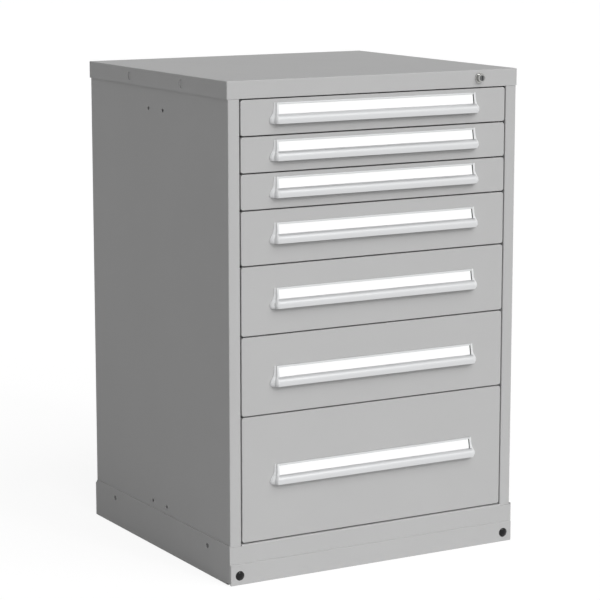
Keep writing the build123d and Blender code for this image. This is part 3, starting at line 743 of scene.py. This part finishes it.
# Light grey ABS: a plain moulded plastic, a little whiter than the coat, with a soft gloss.
ABS_GREY = "DEDFE0"
MOULD_GRAIN = 0.0009
grey_abs, tree = blank_material("light_grey_moulded_ABS")
place = add_node(tree, "ShaderNodeTexCoord").outputs["Object"]
grain = add_node(
    tree, "ShaderNodeTexNoise", {"Vector": place, "Scale": 1 / MOULD_GRAIN, "Detail": 1.0}
)
gloss = add_node(
    tree, "ShaderNodeMapRange", {"Value": grain.outputs["Fac"], "To Min": 0.30, "To Max": 0.42}
)
skin = add_node(
    tree,
    "ShaderNodeBump",
    {"Height": grain.outputs["Fac"], "Strength": 0.2, "Distance": 0.00005},
)
surface = add_node(
    tree,
    "ShaderNodeBsdfPrincipled",
    {
        "Base Color": linear(ABS_GREY),
        "Roughness": gloss.outputs["Result"],
        "IOR": 1.54,
        "Normal": skin.outputs["Normal"],
    },
)
add_node(tree, "ShaderNodeOutputMaterial", {"Surface": surface.outputs["BSDF"]})
for number in DRAWERS:
    low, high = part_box(f"drawer_{number}_handle")
    section = bmesh.new()
    for side in (-1, 1):
        end_cap(section, side, low, high)
    bmesh.ops.remove_doubles(section, verts=section.verts[:], dist=SAME_POINT)
    bmesh.ops.dissolve_degenerate(section, edges=section.edges[:], dist=SAME_POINT)
    bmesh.ops.recalc_face_normals(section, faces=section.faces[:])
    caps = bpy.data.meshes.new("caps")
    section.to_mesh(caps)
    section.free()
    caps.materials.append(grey_abs)
    caps.shade_smooth()
    caps.set_sharp_from_angle(angle=MOULD_ANGLE)
    piece(
        f"drawer_{number}_caps",
        caps,
        f"drawer_{number}",
        "cap_plastic",
        f"drawer_{number}_handle_caps",
    )

# Cards
# A blank strip of white card lies in the sloping field of each pull, under a clear film. Its left
# end is tucked under the cap. At its right end a dark strip is painted shade, standing for the
# shadowed gap between the card and the cap.

# White card under clear film: pure white with a thin even gloss over a faint paper grain.
CARD_WHITE = "FCFCFC"
FIBRE_SIZE = 0.0008
white_card, tree = blank_material("white_card_under_clear_film")
place = add_node(tree, "ShaderNodeTexCoord").outputs["Object"]
fibre = add_node(
    tree, "ShaderNodeTexNoise", {"Vector": place, "Scale": 1 / FIBRE_SIZE, "Detail": 3.0}
)
tone = add_node(
    tree, "ShaderNodeMapRange", {"Value": fibre.outputs["Fac"], "To Min": 0.97, "To Max": 1.0}
)
paper = add_node(
    tree, "ShaderNodeHueSaturation", {"Color": linear(CARD_WHITE), "Value": tone.outputs["Result"]}
)
surface = add_node(
    tree,
    "ShaderNodeBsdfPrincipled",
    {
        "Base Color": paper.outputs["Color"],
        "Roughness": 0.8,
        "Coat Weight": 1.0,
        "Coat Roughness": 0.12,
        "Coat IOR": 1.49,
    },
)
add_node(tree, "ShaderNodeOutputMaterial", {"Surface": surface.outputs["BSDF"]})

# A dark strip at the card's right-hand end, quite matt and mottled: painted shade, standing for
# the shadow in the gap between the card and the cap.
PAINTED_SHADE_BLACK = "2C2C2D"
SHADE_MOTTLE_SIZE = 0.0006
painted_shade_dark, tree = blank_material("dark_strip_painted_shade")
place = add_node(tree, "ShaderNodeTexCoord").outputs["Object"]
mottle = add_node(tree, "ShaderNodeTexVoronoi", {"Vector": place, "Scale": 1 / SHADE_MOTTLE_SIZE})
tone = add_node(
    tree, "ShaderNodeMapRange", {"Value": mottle.outputs["Distance"], "To Min": 0.8, "To Max": 1.2}
)
shade_tone = add_node(
    tree, "ShaderNodeHueSaturation", {"Color": linear(PAINTED_SHADE_BLACK), "Value": tone.outputs["Result"]}
)
surface = add_node(
    tree,
    "ShaderNodeBsdfPrincipled",
    {"Base Color": shade_tone.outputs["Color"], "Roughness": 0.9, "Specular IOR Level": 0.1},
)
add_node(tree, "ShaderNodeOutputMaterial", {"Surface": surface.outputs["BSDF"]})

CARD_THICK = 0.0008
CARD_MARGIN = 0.0003
# Size and place of the dark strip at the card's right end, which is painted shade
SHADE_STRIP_THICK = 0.0004
SHADE_STRIP_WIDE = 0.0022
SHADE_STRIP_GAP = 0.0001
CARD_UNDER_LAP = 0.0012
CARD_EDGE_SHARE = 0.35
CARD_EDGE_STEPS = 2


def strip(left, right, thick, margin, low, high, finish):
    """A strip on the pull's sloping field, with slightly rounded long edges."""
    along = (Vector(FIELD_FOOT) - Vector(FIELD_TOP)).normalized()
    out = Vector((-along.y, along.x))
    base = Vector(FIELD_TOP) + along * margin
    wide = (Vector(FIELD_FOOT) - Vector(FIELD_TOP)).length - 2 * margin
    corners = rounded(
        [
            base,
            base + out * thick,
            base + out * thick + along * wide,
            base + along * wide,
        ],
        thick * CARD_EDGE_SHARE,
        CARD_EDGE_STEPS,
    )
    made = bmesh.new()
    rows = [
        [made.verts.new((x, high.y - at.x, low.z + at.y)) for at in corners] for x in (left, right)
    ]
    for at in range(len(corners)):
        after = (at + 1) % len(corners)
        made.faces.new((rows[0][at], rows[0][after], rows[1][after], rows[1][at]))
    made.faces.new(rows[0])
    made.faces.new(rows[1])
    bmesh.ops.recalc_face_normals(made, faces=made.faces[:])
    mesh = bpy.data.meshes.new("strip")
    made.to_mesh(mesh)
    made.free()
    mesh.materials.append(finish)
    return mesh


for number in DRAWERS:
    low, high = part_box(f"drawer_{number}_handle")
    window_left = low.x + CAP_LAP - CARD_UNDER_LAP
    window_right = high.x - CAP_LAP
    card = strip(
        window_left, window_right - SHADE_STRIP_WIDE, CARD_THICK, CARD_MARGIN, low, high, white_card
    )
    # This dark strip is painted shade, for the shadowed gap between the card and the cap.
    shade_strip = strip(
        window_right - SHADE_STRIP_WIDE + SHADE_STRIP_GAP,
        window_right + CARD_UNDER_LAP,
        SHADE_STRIP_THICK,
        CARD_MARGIN,
        low,
        high,
        painted_shade_dark,
    )
    body = f"drawer_{number}"
    piece(f"drawer_{number}_card", card, body, "card", f"drawer_{number}_label")
    piece(f"drawer_{number}_card_end_painted_shade", shade_strip, body, "black_plastic")

# Lock
# One cylinder lock in the top pan's skirt. Behind the skirt its crank drives a slide and a
# lifting bar with a tab for each drawer, all plated and uncoated.
dress(zinc_plate, "lock_slide", "lock_bar", "lock_tabs", "lock_guides")

# Satin nickel plate: a smooth warm grey metal, a little cloudy, with bright lines at its edges.
NICKEL = "B0B0AE"
POLISH_SIZE = 0.0015
nickel, tree = blank_material("satin_nickel_plate")
place = add_node(tree, "ShaderNodeTexCoord").outputs["Object"]
polish = add_node(
    tree, "ShaderNodeTexNoise", {"Vector": place, "Scale": 1 / POLISH_SIZE, "Detail": 2.0}
)
mirror = add_node(
    tree, "ShaderNodeMapRange", {"Value": polish.outputs["Fac"], "To Min": 0.12, "To Max": 0.24}
)
tone = add_node(
    tree, "ShaderNodeMapRange", {"Value": polish.outputs["Fac"], "To Min": 0.9, "To Max": 1.1}
)
metal = add_node(
    tree, "ShaderNodeHueSaturation", {"Color": linear(NICKEL), "Value": tone.outputs["Result"]}
)
surface = add_node(
    tree,
    "ShaderNodeBsdfPrincipled",
    {
        "Base Color": metal.outputs["Color"],
        "Metallic": 1.0,
        "Roughness": mirror.outputs["Result"],
    },
)
add_node(tree, "ShaderNodeOutputMaterial", {"Surface": surface.outputs["BSDF"]})
dress(nickel, "lock_housing", "lock_cylinder")

# The key plug's face: steel turned in rings, painted darker than the shell around it as a painted
# reflection of dark surroundings. The rings are drawn 2.5 mm apart so that they show at all.
PLUG_FACE_PAINTED_DARK = "6C6D6E"
RING_PITCH = 0.0025
plug_face_painted_reflection, tree = blank_material("turned_steel_painted_dark_reflection")
place = add_node(tree, "ShaderNodeTexCoord").outputs["Object"]
low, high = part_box("lock_cylinder")
centred = add_node(
    tree,
    "ShaderNodeMapping",
    {"Vector": place, "Location": (-(low.x + high.x) / 2, 0.0, -(low.z + high.z) / 2)},
)
turned = add_node(
    tree,
    "ShaderNodeTexWave",
    {"Vector": centred.outputs["Vector"], "Scale": math.pi / 10 / RING_PITCH, "Distortion": 0.4},
    wave_type="RINGS",
    rings_direction="Y",
)
tone = add_node(
    tree, "ShaderNodeMapRange", {"Value": turned.outputs["Fac"], "To Min": 0.85, "To Max": 1.15}
)
# The plug face's dark tone is a painted reflection.
metal = add_node(
    tree, "ShaderNodeHueSaturation", {"Color": linear(PLUG_FACE_PAINTED_DARK), "Value": tone.outputs["Result"]}
)
surface = add_node(
    tree,
    "ShaderNodeBsdfPrincipled",
    {"Base Color": metal.outputs["Color"], "Metallic": 1.0, "Roughness": 0.3},
)
add_node(tree, "ShaderNodeOutputMaterial", {"Surface": surface.outputs["BSDF"]})

PLUG_RADIUS = 0.0066
PLUG_PROUD = 0.0008
PLUG_EDGE = 0.0004
KEYWAY_WIDE = 0.0019
KEYWAY_TALL = 0.0100
FACE_STEPS = 48
middle = (low + high) / 2
face = bmesh.new()
rows = []
for radius, reach in (
    (PLUG_RADIUS, 0.0),
    (PLUG_RADIUS, PLUG_PROUD - PLUG_EDGE),
    (PLUG_RADIUS - PLUG_EDGE, PLUG_PROUD),
    (0.0, PLUG_PROUD),
    (0.0, 0.0),
):
    row = []
    for step in range(FACE_STEPS):
        turn = 2 * math.pi * (step + 0.5) / FACE_STEPS
        x = radius * math.sin(turn)
        z = radius * math.cos(turn)
        if not radius:
            x = math.copysign(KEYWAY_WIDE / 2, math.sin(turn))
            z = max(-KEYWAY_TALL / 2, min(KEYWAY_TALL / 2, PLUG_RADIUS * math.cos(turn)))
        row.append(face.verts.new((middle.x + x, low.y - reach, middle.z + z)))
    rows.append(row)
for inner, outer in zip(rows, rows[1:] + rows[:1]):
    for step in range(FACE_STEPS):
        after = (step + 1) % FACE_STEPS
        face.faces.new((inner[step], inner[after], outer[after], outer[step]))
bmesh.ops.remove_doubles(face, verts=face.verts[:], dist=SAME_POINT)
bmesh.ops.dissolve_degenerate(face, edges=face.edges[:], dist=SAME_POINT)
bmesh.ops.recalc_face_normals(face, faces=face.faces[:])
plug_face = bpy.data.meshes.new("plug_face")
face.to_mesh(plug_face)
face.free()
plug_face.materials.append(plug_face_painted_reflection)
plug_face.shade_smooth()
plug_face.set_sharp_from_angle(angle=FOLD_ANGLE)
piece("lock_plug_face", plug_face, "lock_cylinder", "lock_chrome")

# Floor and room
# A plain pale floor, which a lens and a mirror see as white apart from the cabinet's shadow. The
# light that it throws back onto the cabinet is that of a pale grey floor.
FLOOR_HALF = 60.0
FLOOR_WHITE = 0.88
FLOOR_SHADE = 0.18
FLOOR_PALE = "CFCFCF"
pale_floor, tree = blank_material("pale_studio_floor")
path = add_node(tree, "ShaderNodeLightPath").outputs
seen = add_node(
    tree, "ShaderNodeMath", {0: path["Is Camera Ray"], 1: path["Is Glossy Ray"]}, operation="ADD"
)
seen = add_node(
    tree,
    "ShaderNodeMath",
    {0: seen.outputs["Value"], 1: path["Is Transmission Ray"]},
    operation="ADD",
    use_clamp=True,
)
lit = add_node(tree, "ShaderNodeBsdfDiffuse", {"Color": linear(FLOOR_PALE)})
glow = add_node(
    tree, "ShaderNodeEmission", {"Color": (1.0, 1.0, 1.0, 1.0), "Strength": FLOOR_WHITE}
)
shade = add_node(
    tree, "ShaderNodeBsdfDiffuse", {"Color": (FLOOR_SHADE, FLOOR_SHADE, FLOOR_SHADE, 1.0)}
)
white = add_node(
    tree, "ShaderNodeAddShader", {0: glow.outputs["Emission"], 1: shade.outputs["BSDF"]}
)
mixed = add_node(
    tree,
    "ShaderNodeMixShader",
    {0: seen.outputs["Value"], 1: lit.outputs["BSDF"], 2: white.outputs["Shader"]},
)
add_node(tree, "ShaderNodeOutputMaterial", {"Surface": mixed.outputs["Shader"]})
sheet = bmesh.new()
sheet.faces.new(
    [
        sheet.verts.new((x * FLOOR_HALF, y * FLOOR_HALF, cad_low.z))
        for x, y in ((-1, -1), (1, -1), (1, 1), (-1, 1))
    ]
)
floor_mesh = bpy.data.meshes.new("studio_floor")
sheet.to_mesh(floor_mesh)
sheet.free()
floor_mesh.materials.append(pale_floor)
floor = bpy.data.objects.new("studio_floor", floor_mesh)
bpy.context.scene.collection.objects.link(floor)
floor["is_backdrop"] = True

# The room gives an even soft light. The camera sees it white, and gloss sees it white at eye
# level and greyer overhead.
ROOM_LIGHT = 0.29
OVERHEAD = 0.85
room = bpy.data.worlds.new("pale_room")
bpy.context.scene.world = room
room.use_nodes = True
tree = room.node_tree
tree.nodes.clear()
direction = add_node(tree, "ShaderNodeTexCoord").outputs["Generated"]
upwards = add_node(tree, "ShaderNodeSeparateXYZ", {"Vector": direction})
walls = add_node(
    tree, "ShaderNodeMapRange", {"Value": upwards.outputs["Z"], "To Min": 1.0, "To Max": OVERHEAD}
)
path = add_node(tree, "ShaderNodeLightPath").outputs
mirrored = add_node(
    tree,
    "ShaderNodeMath",
    {0: path["Is Glossy Ray"], 1: path["Is Transmission Ray"]},
    operation="ADD",
    use_clamp=True,
)
strength = add_node(
    tree,
    "ShaderNodeMapRange",
    {
        "Value": mirrored.outputs["Value"],
        "To Min": ROOM_LIGHT,
        "To Max": walls.outputs["Result"],
    },
)
strength = add_node(
    tree,
    "ShaderNodeMapRange",
    {
        "Value": path["Is Camera Ray"],
        "To Min": strength.outputs["Result"],
        "To Max": 1.0,
    },
)
backdrop = add_node(
    tree,
    "ShaderNodeBackground",
    {"Color": (1.0, 1.0, 1.0, 1.0), "Strength": strength.outputs["Result"]},
)
add_node(tree, "ShaderNodeOutputWorld", {"Surface": backdrop.outputs["Background"]})

# One very broad soft light stands in front and above. Gloss shows only its small bright middle.
KEY_FROM = Vector((0.20, -0.82, 0.54))
for name, strength, spread, in_gloss in (
    ("soft_key", 2.08, 72, False),
    ("bright_middle", 0.38, 8, True),
):
    key = bpy.data.lights.new(name, "SUN")
    key.energy = strength
    key.angle = math.radians(spread)
    key_light = bpy.data.objects.new(name, key)
    key_light.rotation_euler = KEY_FROM.to_track_quat("Z", "Y").to_euler()
    key_light.visible_glossy = in_gloss
    bpy.context.scene.collection.objects.link(key_light)

# Camera
# It stands well back with a long lens, to the left of the cabinet's front, and looks a little
# down.
lens = bpy.data.cameras.new("camera")
lens.lens = 138.54
lens.sensor_width = 36.0
lens.clip_end = 300.0
camera = bpy.data.objects.new("camera", lens)
camera.location = (-2.72922, -4.72577, 1.52738)
camera.rotation_euler = (math.radians(90 - 10.01), 0.0, math.radians(-29.99))
bpy.context.scene.collection.objects.link(camera)
bpy.context.scene.camera = camera
bpy.context.scene.view_settings.view_transform = "Standard"

low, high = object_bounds()
